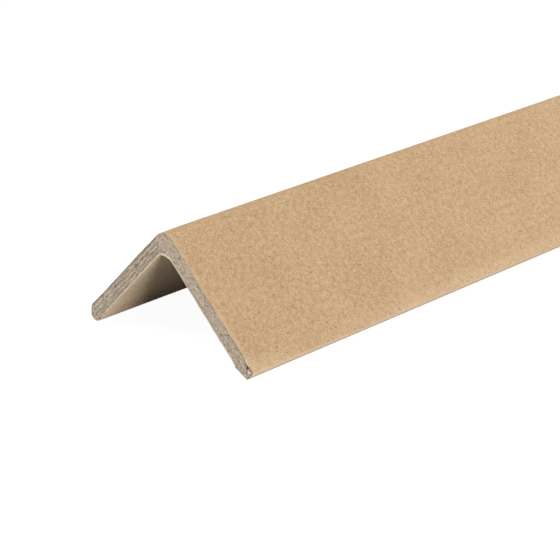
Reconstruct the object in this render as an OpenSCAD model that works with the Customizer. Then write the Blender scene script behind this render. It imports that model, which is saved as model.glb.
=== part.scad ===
// Pallet edge protector: an angle board of laminated cardboard.
// Plies of board are glued in a stack, wrapped in a kraft cover sheet and pressed
// into one right-angled fold. It stands on the tips of its two legs with the nose
// of the fold up, and its length runs along Y.

/* [Board] */
// Length from one cut end to the other
board_length = 300; // [100:10:1200]
// Width of the left leg, from the outer corner of the fold to its tip
left_leg = 49.1; // [35:0.1:80]
// Width of the right leg, from the outer corner of the fold to its tip
right_leg = 50.4; // [35:0.1:80]
// Thickness of the pressed board
board_t = 5; // [3.5:0.1:7]

/* [Fold] */
// Radius of the nose, on the outside of the fold
nose_r = 5; // [2:0.1:8]
// Radius in the hollow, on the inside of the fold
fold_r = 4.5; // [2:0.1:8]

/* [Cover sheet] */
// Thickness of the kraft cover and of the inner liner
cover_t = 0.35; // [0.2:0.05:0.5]
// Width of the cover's margin that laps round each tip onto the inner face
lap_w = 5.8; // [4.5:0.1:12]

/* [Tips] */
// Run of the bevel on the left tip's outer corner, along the leg
left_bevel_run = 2.6; // [1:0.1:4]
// Depth of the bevel on the left tip's outer corner, through the board
left_bevel_depth = 2.1; // [0.5:0.1:2.1]
// Radius of the left tip's inner corner
left_round_r = 2; // [0.4:0.1:2.2]
// Run of the bevel on the right tip's inner corner, along the leg
right_bevel_run = 4.8; // [1:0.1:6]
// Depth of the bevel on the right tip's inner corner, through the board
right_bevel_depth = 1.5; // [0.5:0.1:2.1]
// Radius of the right tip's outer corner
right_round_r = 0.6; // [0.4:0.1:1.4]

/* [Cut ends] */
// Number of plies between the cover and the liner
plies = 7; // [5:2:9]
// How far every other ply is crushed back from the cut
ply_relief = 0.3; // [0.1:0.05:1]

/* [Lifted cover] */
// Distance from the right tip to the open end of the gap under the cover
gap_from_tip = 2.2; // [1.5:0.1:5]
// Length of the gap along the leg
gap_w = 2.3; // [1.2:0.1:5]
// Height of the gap where it is widest
gap_h = 0.8; // [0.3:0.05:1]
// Depth of the gap behind the near cut end
gap_depth = 4; // [1:0.5:20]

/* [Hidden] */
$fn = 96;
kraft = [0.8, 0.67, 0.52];

// Thickness at the tips, where the cover's margin lies on the inner face
lapped_t = board_t + cover_t;
ply_t = (board_t - 2 * cover_t) / plies;
// How far a cut runs out past the end that it is made in
past = 1;
// Side of a square that reaches past both legs
span = left_leg + right_leg;

// The section is drawn with the outer corner of the fold at the origin, the left
// leg along x and the right leg along y. It turns until both feet meet the floor:
// the left foot is the round of the left tip, and the right foot is the lower
// corner of the right tip's bevel.
left_foot = [left_leg - left_round_r, lapped_t - left_round_r];
right_foot = right_bevel_depth < right_bevel_run
    ? [lapped_t - right_bevel_depth, right_leg]
    : [lapped_t, right_leg - right_bevel_run];
feet = right_foot - left_foot;
turn = -atan2(feet.y, feet.x) - asin(left_round_r / norm(feet));

// Position across (x) or up (y) of a point of the section once it has turned
function across(p) = p.x * cos(turn) - p.y * sin(turn);
function up(p) = p.x * sin(turn) + p.y * cos(turn);

left_reach = min(across([left_leg, left_bevel_depth]), across([left_leg - left_bevel_run, 0]));
right_reach = across([right_round_r, right_leg - right_round_r]) + right_round_r;
middle_x = (left_reach + right_reach) / 2;
floor_z = up(left_foot) - left_round_r;

// Radius of the fold at a depth through the board, from the nose to the hollow
function bend_r(depth) = nose_r + (fold_r - nose_r) * depth / board_t;

// How far a tip is cut back at a depth measured from its bevelled side
function bevel_back(depth, run, bevel_depth) = run * max(0, 1 - depth / bevel_depth);

// How far a tip is cut back at a depth measured from its rounded side
function round_back(depth, r) = depth >= r ? 0 : r - sqrt(r * r - (r - depth) * (r - depth));

// Reach of a layer on each leg, inside the cover that wraps the tip
function left_end(top, bottom) = left_leg - cover_t
    - max(bevel_back(top, left_bevel_run, left_bevel_depth), round_back(lapped_t - bottom, left_round_r));
function right_end(top, bottom) = right_leg - cover_t
    - max(round_back(top, right_round_r), bevel_back(lapped_t - bottom, right_bevel_run, right_bevel_depth));

// Everything deeper than a layer of the fold
module inside_of_fold(depth) {
    r = bend_r(depth);
    translate([depth, depth]) {
        difference() {
            square(span);
            difference() {
                square(r);
                translate([r, r]) circle(r);
            }
        }
    }
}

// One layer of the fold, between two depths, out to an end on each leg
module folded_layer(top, bottom, end_left, end_right) {
    intersection() {
        difference() {
            inside_of_fold(top);
            inside_of_fold(bottom);
        }
        square([end_left, end_right]);
    }
}

// What is missing from a square tip, with the bevelled side at y = 0
module tip_waste(leg, run, depth, r) {
    polygon([[leg - run, 0], [leg, depth], [leg, 0]]);
    translate([leg - r, lapped_t - r]) {
        difference() {
            square(r);
            circle(r);
        }
    }
}

// The right leg's side of the section, drawn as a leg along x
module on_right_leg() {
    mirror([1, -1]) children();
}

// Swaps the outer and the inner side of a lapped leg
module inner_side_first() {
    translate([0, lapped_t]) mirror([0, 1]) children();
}

// The end of each leg, which the cover's margin makes thicker on its inner face
module lapped_ends() {
    translate([left_leg - lap_w, cover_t]) square([lap_w, board_t]);
    translate([cover_t, right_leg - lap_w]) square([board_t, lap_w]);
}

// Outline of the board across its length
module section() {
    difference() {
        union() {
            folded_layer(0, board_t, left_leg, right_leg);
            lapped_ends();
        }
        tip_waste(left_leg, left_bevel_run, left_bevel_depth, left_round_r);
        on_right_leg() inner_side_first()
            tip_waste(right_leg, right_bevel_run, right_bevel_depth, right_round_r);
    }
}

// Every other ply, as it shows on a cut end
module crushed_plies() {
    for (i = [0 : 2 : plies - 1]) {
        top = cover_t + i * ply_t;
        bottom = top + ply_t;
        folded_layer(top, bottom, left_end(top, bottom), right_end(top, bottom));
    }
}

// Wedge-shaped gap where the cover has come away from the plies
module gap_under_cover() {
    mouth = right_leg - gap_from_tip;
    on_right_leg() polygon([
        [mouth - gap_w, cover_t],
        [mouth, cover_t],
        [mouth, cover_t + gap_h],
        [mouth - gap_h, cover_t + gap_h]
    ]);
}

// Cut of a given depth into the near end (side = 1) or the far end (side = -1)
module cut_into_end(side, depth) {
    translate([0, 0, side * (board_length - depth + past) / 2])
        linear_extrude(depth + past, center = true) children();
}

// Stands the board, drawn along z, on its two feet with the near end at -Y
module stand_up() {
    translate([-middle_x, 0, -floor_z]) rotate([90, 0, 0]) rotate(turn) children();
}

module angle_board() {
    color(kraft) stand_up() difference() {
        linear_extrude(board_length, center = true) section();
        for (side = [-1, 1]) {
            cut_into_end(side, ply_relief) crushed_plies();
        }
        cut_into_end(1, gap_depth) gap_under_cover();
    }
}

angle_board();
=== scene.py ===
"""Dresses a pallet edge protector: a folded angle board of laminated cardboard under kraft paper.

Lengths are in metres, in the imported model's frame: X across the two legs, Y along the board and Z up.
The maps that carry the paper's patterns are in millimetres.
"""
import logging
import math
from dataclasses import dataclass, field, replace
from enum import Enum
from typing import Any

import bmesh
import bpy
import numpy as np
from mathutils import Matrix, Vector


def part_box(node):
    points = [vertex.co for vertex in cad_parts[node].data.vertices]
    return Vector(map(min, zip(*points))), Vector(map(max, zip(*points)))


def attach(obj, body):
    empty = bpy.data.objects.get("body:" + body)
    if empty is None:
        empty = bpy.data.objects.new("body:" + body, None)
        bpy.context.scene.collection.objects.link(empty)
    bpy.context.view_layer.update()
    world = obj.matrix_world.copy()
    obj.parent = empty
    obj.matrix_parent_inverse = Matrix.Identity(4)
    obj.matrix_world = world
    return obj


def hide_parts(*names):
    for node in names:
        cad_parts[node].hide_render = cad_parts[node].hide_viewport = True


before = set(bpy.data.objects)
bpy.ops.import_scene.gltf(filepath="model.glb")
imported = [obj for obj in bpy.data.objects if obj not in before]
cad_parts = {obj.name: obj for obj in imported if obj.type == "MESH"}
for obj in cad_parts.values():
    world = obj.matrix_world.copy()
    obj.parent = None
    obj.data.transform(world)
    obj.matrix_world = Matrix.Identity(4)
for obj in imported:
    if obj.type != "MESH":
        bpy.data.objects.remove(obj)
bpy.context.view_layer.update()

MM = 0.001
NODE = "angle_board"
BODY = "root"
PATTERN_MAP = "Paper"
BAKE_MAP = "OFBake"
TONE = "tone"
# Tone of paper and of board that is neither worn nor torn, and has no painted light or shade
PLAIN = 0.5
log = logging.getLogger("edge_protector")

Rgba = tuple[float, float, float, float]
Socket = bpy.types.NodeSocket


class CutEnd(Enum):
    """The two cut ends of the board, by the way that each faces along Y."""

    NEAR = -1
    FAR = 1


def srgb(red: int, green: int, blue: int) -> Rgba:
    """Turns a colour as a screen shows it into the linear colour that a shader takes.

    Args:
        red: red from 0 to 255.
        green: green from 0 to 255.
        blue: blue from 0 to 255.

    Returns:
        The linear colour, opaque.
    """
    def linear(level: int) -> float:
        """Linear value of one channel, by the curve of the sRGB standard."""
        share = level / 255
        return share / 12.92 if share <= 0.04045 else ((share + 0.055) / 1.055) ** 2.4

    return (linear(red), linear(green), linear(blue), 1.0)


def smooth_step(low: float, high: float, value: np.ndarray) -> np.ndarray:
    """Rises smoothly from 0 at low to 1 at high.

    Args:
        low: value at which the rise starts.
        high: value at which the rise ends; it may be the smaller one.
        value: values to grade.

    Returns:
        The grade of each value.
    """
    share = np.clip((value - low) / (high - low), 0.0, 1.0)
    return share * share * (3.0 - 2.0 * share)


def bell(value: np.ndarray, width: float) -> np.ndarray:
    """1 at zero, falling off smoothly on both sides over about that width."""
    return np.exp(-((value / width) ** 2))


def run_along(points: np.ndarray) -> np.ndarray:
    """Distance of each point along a line of points."""
    return np.concatenate([[0.0], np.cumsum(np.linalg.norm(np.diff(points, axis=0), axis=1))])


@dataclass(frozen=True)
class Grain:
    """Smooth seeded noise on a plane, for the shapes that no two boards share."""

    seed: int
    along: float
    through: float = 1.0
    table_size: int = 256

    def at(self, u: np.ndarray, v: np.ndarray | float, end: CutEnd = CutEnd.NEAR) -> np.ndarray:
        """Gives the noise at points of the plane.

        Args:
            u: first coordinate, in units in which the noise's blots are `along` long.
            v: second coordinate, in units in which they are `through` long.
            end: cut end that the noise is for, so that the two ends differ.

        Returns:
            Values from -1 to 1.
        """
        size = self.table_size
        table = np.random.default_rng([self.seed, end.value + 1]).uniform(-1.0, 1.0, (size, size))
        across, up = np.broadcast_arrays(u / self.along, v / self.through)
        i, j = np.floor(across).astype(int), np.floor(up).astype(int)
        a, b = smooth_step(0.0, 1.0, across - i), smooth_step(0.0, 1.0, up - j)
        i, j = i % size, j % size
        i_next, j_next = (i + 1) % size, (j + 1) % size
        low = table[i, j] * (1 - a) + table[i_next, j] * a
        high = table[i, j_next] * (1 - a) + table[i_next, j_next] * a
        return low * (1 - b) + high * b


@dataclass(frozen=True)
class FoldedPath:
    """A path across the board, of straight runs and round bends, given by the corners it would have.

    Each corner is x, y and the radius of its bend; the first and the last are the path's ends.
    """

    corners: tuple[tuple[float, float, float], ...]
    step: float = 0.5 * MM
    bend_step: float = math.radians(6)
    least_bend_points: int = 4
    least_r: float = 0.02 * MM

    def points(self, aside: float = 0.0) -> np.ndarray:
        """Lays points along the path, as many for any distance aside.

        Args:
            aside: how far the path is moved to its own right.

        Returns:
            The points, one row of x and y each.
        """
        plain = self._runs_and_bends(0.0)
        moved = self._runs_and_bends(aside)
        rows = [moved[0].start]
        for was, now in zip(plain, moved):
            count = max(1, round(float(np.linalg.norm(was.stop - was.start)) / self.step))
            shares = np.linspace(0.0, 1.0, count + 1)[1:, None]
            rows.append(now.start + (now.stop - now.start) * shares)
            if now.turn:
                count = max(self.least_bend_points, round(abs(now.turn) / self.bend_step))
                rows.append(now.round_the_bend(count))
        return np.vstack(rows)

    def _runs_and_bends(self, aside: float) -> list["Run"]:
        """Splits the path into straight runs, each with the bend that follows it.

        Args:
            aside: how far the path is moved to its own right.

        Returns:
            The runs in order.
        """
        marks = np.array([corner[:2] for corner in self.corners])
        ways = np.diff(marks, axis=0)
        ways /= np.linalg.norm(ways, axis=1)[:, None]
        right = np.stack([ways[:, 1], -ways[:, 0]], axis=1)
        runs: list[Run] = []
        start = marks[0] + right[0] * aside
        for i, way in enumerate(ways):
            if i == len(ways) - 1:
                runs.append(Run(start, marks[-1] + right[-1] * aside))
                break
            after = ways[i + 1]
            turn = math.atan2(way[0] * after[1] - way[1] * after[0], float(way @ after))
            radius = max(self.corners[i + 1][2] + math.copysign(aside, turn), self.least_r)
            corner = marks[i + 1] + aside * (right[i] + right[i + 1]) / (1 + right[i] @ right[i + 1])
            back = radius * math.tan(abs(turn) / 2)
            runs.append(Run(start, corner - way * back, turn, radius, way))
            start = corner + after * back
        return runs


@dataclass(frozen=True)
class Run:
    """One straight run of a path and the bend at its end."""

    start: np.ndarray
    stop: np.ndarray
    turn: float = 0.0
    radius: float = 0.0
    way: np.ndarray = field(default_factory=lambda: np.zeros(2))

    def round_the_bend(self, count: int) -> np.ndarray:
        """Lays points round the bend, without its first one.

        Args:
            count: number of points.

        Returns:
            The points, one row each.
        """
        side = math.copysign(1.0, self.turn)
        left = np.array([-self.way[1], self.way[0]]) * side
        centre = self.stop + left * self.radius
        angles = np.linspace(0.0, abs(self.turn), count + 1)[1:, None]
        return centre + self.radius * (self.way * np.sin(angles) - left * np.cos(angles))


@dataclass(frozen=True)
class BoardSection:
    """Section of the board, drawn with the outer corner of its fold at the origin.

    The left leg runs along x and the right leg along y, and the depth through the board grows from
    the outer faces to the inner ones. The reach along a leg is below zero on the left one.
    """

    left_leg: float = 49.1 * MM
    right_leg: float = 50.4 * MM
    board_length: float = 300.0 * MM
    board_t: float = 5.0 * MM
    nose_r: float = 5.0 * MM
    fold_r: float = 4.5 * MM
    cover_t: float = 0.35 * MM
    lap_w: float = 5.8 * MM
    left_bevel_run: float = 2.6 * MM
    left_bevel_depth: float = 2.1 * MM
    left_round_r: float = 2.0 * MM
    right_bevel_run: float = 4.8 * MM
    right_bevel_depth: float = 1.5 * MM
    right_round_r: float = 0.6 * MM
    # Depths between which the board's outer side gives way to its inner side
    inner_side: tuple[float, float] = (2.25 * MM, 3.75 * MM)
    # Radii of the creases in the cover at the tips
    left_crease_r: float = 0.9 * MM
    right_crease_r: float = 0.2 * MM
    right_slope_r: float = 1.2 * MM
    # The left leg's outer layers were pressed in between these reaches when the fold was formed
    press_from: float = 4.0 * MM
    press_to: float = 45.0 * MM
    press_fade: float = 6.0 * MM
    press_in: float = 0.16 * MM
    # The saw crushed the left shoulder of the nose at the near cut end: the reach at which that starts to
    # fade, the reach at which it ends, how far it goes in, and how far it goes along the board
    crush_from: float = 5.0 * MM
    crush_to: float = 12.0 * MM
    crush_in: float = 0.28 * MM
    crush_depth: float = 3.5 * MM
    # Distance of the liner's edge from the left tip and from the right one, under the cover's margins
    left_tuck: float = 2.1 * MM
    right_tuck: float = 5.0 * MM

    @property
    def lapped_t(self) -> float:
        """Thickness at the tips, where the cover's margin lies on the inner face."""
        return self.board_t + self.cover_t

    @property
    def turn(self) -> float:
        """Turn of the section that stands the board on both feet.

        Returns:
            The angle in radians.
        """
        left_foot, right_foot = self._feet()
        feet = right_foot - left_foot
        return -math.atan2(feet[1], feet[0]) - math.asin(self.left_round_r / float(np.linalg.norm(feet)))

    def _feet(self) -> tuple[np.ndarray, np.ndarray]:
        """Centre of the left tip's round, and the lower corner of the right tip's bevel."""
        left_foot = np.array([self.left_leg - self.left_round_r, self.lapped_t - self.left_round_r])
        return left_foot, np.array([self.lapped_t - self.right_bevel_depth, self.right_leg])

    def _turned(self, xy: np.ndarray) -> np.ndarray:
        """Turns points of the section: the first column is across, the second is up."""
        cos, sin = math.cos(self.turn), math.sin(self.turn)
        return np.stack([xy[..., 0] * cos - xy[..., 1] * sin, xy[..., 0] * sin + xy[..., 1] * cos], axis=-1)

    def stand(self, xy: np.ndarray, y: np.ndarray) -> np.ndarray:
        """Stands points of the section in the frame.

        Args:
            xy: points of the section, with x and y last.
            y: place of each point along the board.

        Returns:
            Points of the frame, with X, Y and Z last.
        """
        bevel = np.array([[self.left_leg, self.left_bevel_depth], [self.left_leg - self.left_bevel_run, 0.0]])
        round_centre = np.array([self.right_round_r, self.right_leg - self.right_round_r])
        left_reach = self._turned(bevel)[:, 0].min()
        right_reach = self._turned(round_centre)[0] + self.right_round_r
        floor = self._turned(self._feet()[0])[1] - self.left_round_r
        placed = self._turned(self.pressed(xy, y))
        across = placed[..., 0] - (left_reach + right_reach) / 2
        return np.stack([across, np.broadcast_to(y, across.shape), placed[..., 1] - floor], axis=-1)

    def pressed(self, xy: np.ndarray, place: np.ndarray) -> np.ndarray:
        """Presses the left leg's outer layers in, as the rollers and the saw did.

        Args:
            xy: points of the section.
            place: place of each point along the board.

        Returns:
            The points after pressing.
        """
        out = np.array(xy, dtype=float)
        x, y = out[..., 0], out[..., 1]
        along = smooth_step(self.press_from, self.press_from + self.press_fade, x)
        along *= smooth_step(self.press_to, self.press_to - self.press_fade, x)
        outer = np.clip(1.0 - y / self.board_t, 0.0, 1.0)
        on_left = smooth_step(0.0, self.board_t, x - y)
        crushed = bell(place + self.board_length / 2, self.crush_depth)
        crushed = crushed * smooth_step(self.crush_to, self.crush_from, x)
        out[..., 1] += (self.press_in * along + self.crush_in * crushed) * outer * on_left
        return out

    def wrap(self) -> FoldedPath:
        """Lays the path of the cover's outside, from one margin on the inner faces to the other.

        Returns:
            The path, from the left leg to the right one.
        """
        return FoldedPath((
            (self.left_leg - self.lap_w, self.lapped_t, 0.0),
            (self.left_leg, self.lapped_t, self.left_round_r),
            (self.left_leg, self.left_bevel_depth, self.left_crease_r),
            (self.left_leg - self.left_bevel_run, 0.0, self.left_crease_r),
            (0.0, 0.0, self.nose_r),
            (0.0, self.right_leg, self.right_round_r),
            (self.lapped_t - self.right_bevel_depth, self.right_leg, self.right_crease_r),
            (self.lapped_t, self.right_leg - self.right_bevel_run, self.right_slope_r),
            (self.lapped_t, self.right_leg - self.lap_w, 0.0),
        ))

    def hollow(self) -> FoldedPath:
        """Lays the path of the liner's open side, from under one margin of the cover to under the other.

        Returns:
            The path, from the left leg to the right one.
        """
        return FoldedPath((
            (self.left_leg - self.left_tuck, self.board_t, 0.0),
            (self.board_t, self.board_t, self.fold_r),
            (self.board_t, self.right_leg - self.right_tuck, 0.0),
        ))


@dataclass(frozen=True)
class LegLine:
    """A line of points on the section: distance along it, and reach and depth on the board's legs."""

    way: np.ndarray
    reach: np.ndarray
    depth: np.ndarray

    @classmethod
    def through(cls, points: np.ndarray) -> "LegLine":
        """Takes the line through points of the section.

        Args:
            points: the points, one row of x and y each.

        Returns:
            The line.
        """
        x, y = points[:, 0], points[:, 1]
        return cls(run_along(points), np.where(x > y, -x, y), np.minimum(x, y))

    def on_left(self, fold: float) -> np.ndarray:
        """1 on the left leg and 0 on the right one, with the change within that reach of the fold."""
        return smooth_step(fold, -fold, self.reach)

    def inner(self, section: BoardSection) -> np.ndarray:
        """1 on the inner side of the board and 0 on its outer side."""
        return smooth_step(*section.inner_side, self.depth)


@dataclass(frozen=True)
class MapBox:
    """A rectangle of the unit square on which a piece's surfaces are laid out."""

    left: float
    bottom: float
    right: float
    top: float

    def spread(self, u: np.ndarray, v: np.ndarray) -> np.ndarray:
        """Spreads two coordinates of a grid over the rectangle, the first one along its longer side.

        Args:
            u: the coordinate that runs further.
            v: the other coordinate.

        Returns:
            The place of each point of the grid on the square.
        """
        longer = (u - u.min()) / (u.max() - u.min())
        shorter = (v - v.min()) / (v.max() - v.min())
        upright = self.top - self.bottom > self.right - self.left
        across, up = (shorter, longer) if upright else (longer, shorter)
        return np.stack([
            self.left + (self.right - self.left) * across,
            self.bottom + (self.top - self.bottom) * up,
        ], axis=-1)


@dataclass(frozen=True)
class SheetLayout:
    """Where the two sides and the four rims of a sheet go on the unit square.

    The open side may be cut into several parts along the sheet, each with a rectangle of its own.
    """

    shown: tuple[MapBox, ...]
    hidden: MapBox
    rims: tuple[MapBox, MapBox, MapBox, MapBox]


class QuadPiece:
    """Gathers grids of quads into one closed mesh, with a finish and two maps for each grid."""

    def __init__(self, name: str) -> None:
        """Starts an empty piece.

        Args:
            name: name of the piece.
        """
        self.name = name
        self.places: list[np.ndarray] = []
        self.tones: list[np.ndarray] = []
        self.total = 0
        self.quads: list[np.ndarray] = []
        self.patterns: list[np.ndarray] = []
        self.layouts: list[np.ndarray] = []
        self.finish_of: list[np.ndarray] = []

    def points(self, places: np.ndarray, tone: np.ndarray | float) -> np.ndarray:
        """Adds a grid of points.

        Args:
            places: the points, with X, Y and Z last.
            tone: a number that the finish of each point reads as its tone.

        Returns:
            The number of each point, in the shape of the grid.
        """
        shape = places.shape[:-1]
        count = int(np.prod(shape))
        numbers = np.arange(self.total, self.total + count).reshape(shape)
        self.places.append(places.reshape(-1, 3))
        self.tones.append(np.broadcast_to(tone, shape).reshape(-1))
        self.total += count
        return numbers

    def grid(self, numbers: np.ndarray, pattern: np.ndarray, layout: np.ndarray, finish: int = 0) -> None:
        """Adds the quads of a grid of points.

        Args:
            numbers: the number of each point, in rows and columns.
            pattern: place of each point on the map that the patterns follow, in metres.
            layout: place of each point on the square for baking.
            finish: which of the piece's finishes the quads have.
        """
        def corners(grid: np.ndarray) -> np.ndarray:
            """The four corners of each quad, in order round it."""
            around = [grid[:-1, :-1], grid[1:, :-1], grid[1:, 1:], grid[:-1, 1:]]
            return np.stack(around, axis=2).reshape(-1, 4, *grid.shape[2:])

        quads = corners(numbers)
        self.quads.append(quads)
        self.patterns.append(corners(pattern / MM))
        self.layouts.append(corners(layout))
        self.finish_of.append(np.full(len(quads), finish))

    def sheet(self, shown: np.ndarray, hidden: np.ndarray, u: np.ndarray, v: np.ndarray, thickness: float,
              layout: SheetLayout, rim_finish: int) -> None:
        """Adds a closed sheet: its open side, its hidden side and the rims between them.

        Args:
            shown: numbers of the points on the open side, in rows along u and columns along v.
            hidden: numbers of the points on the hidden side.
            u: distance of each row across the sheet.
            v: distance of each column along the sheet.
            thickness: thickness of the sheet.
            layout: where everything goes on the square for baking.
            rim_finish: which of the piece's finishes the two cut rims have, at the ends of v.
        """
        grid_u, grid_v = np.broadcast_arrays(u[:, None], v[None, :])
        pattern = np.stack([grid_u, grid_v], axis=-1)
        cuts = np.linspace(0, len(v) - 1, len(layout.shown) + 1).round().astype(int)
        for first, last, box in zip(cuts, cuts[1:], layout.shown):
            part = slice(first, last + 1)
            place = box.spread(grid_v[:, part], grid_u[:, part])
            self.grid(shown[:, part], pattern[:, part], place)
        self.grid(hidden, pattern, layout.hidden.spread(grid_v, grid_u))
        edges = (
            (shown[:, 0], hidden[:, 0], u, rim_finish),
            (shown[:, -1], hidden[:, -1], u, rim_finish),
            (shown[0], hidden[0], v, 0),
            (shown[-1], hidden[-1], v, 0),
        )
        for (one, other, run, finish), box in zip(edges, layout.rims):
            grid_run, grid_t = np.broadcast_arrays(run[:, None], np.array([[0.0, thickness]]))
            rim = np.stack([one, other], axis=1)
            self.grid(rim, np.stack([grid_run, grid_t], axis=-1), box.spread(grid_run, grid_t), finish)

    def make(self, finishes: list[bpy.types.Material], sharp_deg: float = 38.0) -> bpy.types.Object:
        """Makes the mesh object, with its finishes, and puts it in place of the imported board.

        Args:
            finishes: the materials, in the order that grid() counts them.
            sharp_deg: angle between two faces above which the edge stays sharp.

        Returns:
            The object.
        """
        mesh = bpy.data.meshes.new(self.name)
        quads = np.vstack(self.quads)
        mesh.from_pydata(np.vstack(self.places).tolist(), [], quads.tolist())
        for material in finishes:
            mesh.materials.append(material)
        mesh.polygons.foreach_set("material_index", np.concatenate(self.finish_of).astype(np.int32))
        for name, corners in ((BAKE_MAP, self.layouts), (PATTERN_MAP, self.patterns)):
            layer = mesh.uv_layers.new(name=name)
            layer.data.foreach_set("uv", np.vstack(corners).astype(np.float32).ravel())
        tone = mesh.attributes.new(TONE, "FLOAT", "POINT")
        tone.data.foreach_set("value", np.concatenate(self.tones).astype(np.float32))
        self._face_outwards(mesh)
        mesh.polygons.foreach_set("use_smooth", np.ones(len(quads), dtype=bool))
        mesh.set_sharp_from_angle(angle=math.radians(sharp_deg))
        piece = bpy.data.objects.new(self.name, mesh)
        bpy.context.scene.collection.objects.link(piece)
        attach(piece, BODY)
        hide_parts(NODE)
        return piece

    @staticmethod
    def _face_outwards(mesh: bpy.types.Mesh) -> None:
        """Turns every face of a closed mesh outwards.

        Args:
            mesh: the mesh.
        """
        shape = bmesh.new()
        shape.from_mesh(mesh)
        bmesh.ops.recalc_face_normals(shape, faces=shape.faces)
        shape.to_mesh(mesh)
        shape.free()


@dataclass(frozen=True)
class Layer:
    """One layer of noise in a finish.

    It has so many blots for each millimetre, along its two directions. Its swing is how far it moves the
    colour, and its relief is how far it moves the height. Its detail is the number of finer layers in it,
    and rough is how strong those are.
    """

    blots: tuple[float, float]
    swing: float
    relief: float = 0.0
    turn_deg: float = 0.0
    detail: float = 1.0
    rough: float = 0.5


@dataclass(frozen=True)
class Fleck:
    """One kind of fleck in a finish, scattered over cells with one dot at most in each.

    The cells are stretched, turned and counted for each millimetre. The size is a dot's radius as a share
    of a cell, the share is that of the cells that have a dot, and the strength is that of the dot's colour.
    """

    stretch: tuple[float, float]
    turn_deg: float
    cells: float
    size: float
    share: float
    strength: float


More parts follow.
